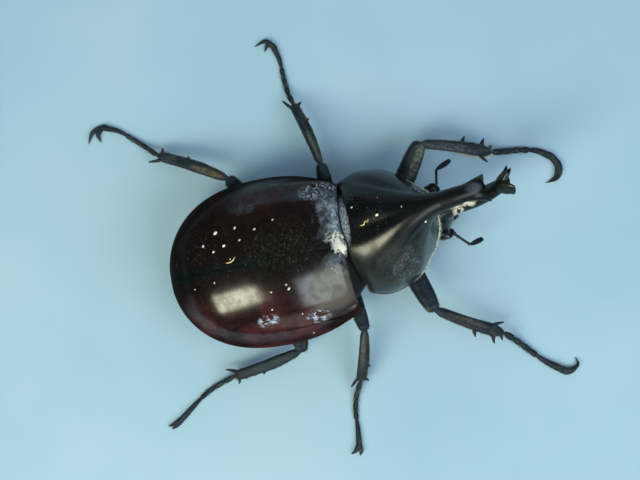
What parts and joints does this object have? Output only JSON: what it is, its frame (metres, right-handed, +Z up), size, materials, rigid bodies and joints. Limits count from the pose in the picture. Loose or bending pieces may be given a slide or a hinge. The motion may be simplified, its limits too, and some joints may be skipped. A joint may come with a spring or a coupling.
{
  "type": "rhinoceros beetle",
  "caption": "Life-size male rhinoceros beetle, standing with its legs spread and head turned a little left; a forked horn on the thorax reaches over a forked horn on the head",
  "frame": {"origin": "on the floor, under the middle of the whole figure's bounding box", "axes": "+Z up from the floor, head towards -Y, the beetle's left side towards +X"},
  "size_m": [0.0706, 0.0766, 0.0198],
  "materials": {
    "shell_brown": "glossy, very dark brown with a red tint",
    "shell_black": "satin black with a faint olive sheen",
    "underside": "satin dark brown",
    "leg": "satin black-brown",
    "eye": "polished black"
  },
  "bodies": {
    "root": {"elytron_left": "shell_brown", "elytron_right": "shell_brown", "scutellum": "shell_brown", "pronotum": "shell_black", "thoracic_horn": "shell_black", "head": "shell_black", "cephalic_horn": "shell_black", "mandible_left": "shell_black", "mandible_right": "shell_black", "mesothorax": "underside", "metathorax": "underside", "abdomen": "underside", "pygidium": "underside", "eye_left": "eye", "eye_right": "eye", "antenna_left": "leg", "antenna_right": "leg", "antenna_club_left": "leg", "antenna_club_right": "leg", "palp_left": "leg", "palp_right": "leg", "coxa_front_left": "leg", "femur_front_left": "leg", "tibia_front_left": "leg", "tarsus_front_left": "leg", "coxa_front_right": "leg", "femur_front_right": "leg", "tibia_front_right": "leg", "tarsus_front_right": "leg", "coxa_middle_left": "leg", "femur_middle_left": "leg", "tibia_middle_left": "leg", "tarsus_middle_left": "leg", "coxa_middle_right": "leg", "femur_middle_right": "leg", "tibia_middle_right": "leg", "tarsus_middle_right": "leg", "coxa_hind_left": "leg", "femur_hind_left": "leg", "tibia_hind_left": "leg", "tarsus_hind_left": "leg", "coxa_hind_right": "leg", "femur_hind_right": "leg", "tibia_hind_right": "leg", "tarsus_hind_right": "leg"}
  },
  "joints": []
}
